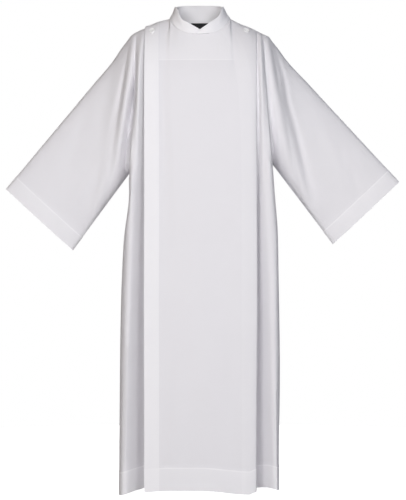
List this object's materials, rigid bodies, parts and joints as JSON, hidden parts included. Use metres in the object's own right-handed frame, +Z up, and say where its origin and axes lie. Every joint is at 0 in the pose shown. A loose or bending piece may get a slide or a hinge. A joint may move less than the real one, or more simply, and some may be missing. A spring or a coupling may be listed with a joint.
{
  "type": "alb robe",
  "caption": "White full-length alb robe with a standing crossed collar, a flat wrap front buttoned on both shoulders, deep side folds and wide straight sleeves, in its hollow worn form.",
  "frame": {"origin": "the middle of the neck opening at the level of the shoulders, where the wearer's neck and shoulders hold the robe up", "axes": "+Z up, -Y towards the front that the wearer faces, +X towards the wearer's left"},
  "size_m": [1.218, 0.3271, 1.513],
  "materials": {
    "white_cloth": "plain woven poly-cotton, matt white",
    "black_label": "plain black woven tape, blank",
    "white_plastic": "white plastic, softly polished"
  },
  "bodies": {
    "root": {"front_over": "white_cloth", "front_under": "white_cloth", "back": "white_cloth", "sleeve_right": "white_cloth", "sleeve_left": "white_cloth", "collar": "white_cloth", "neck_label": "black_label", "button_right": "white_plastic", "button_left": "white_plastic"}
  },
  "joints": []
}
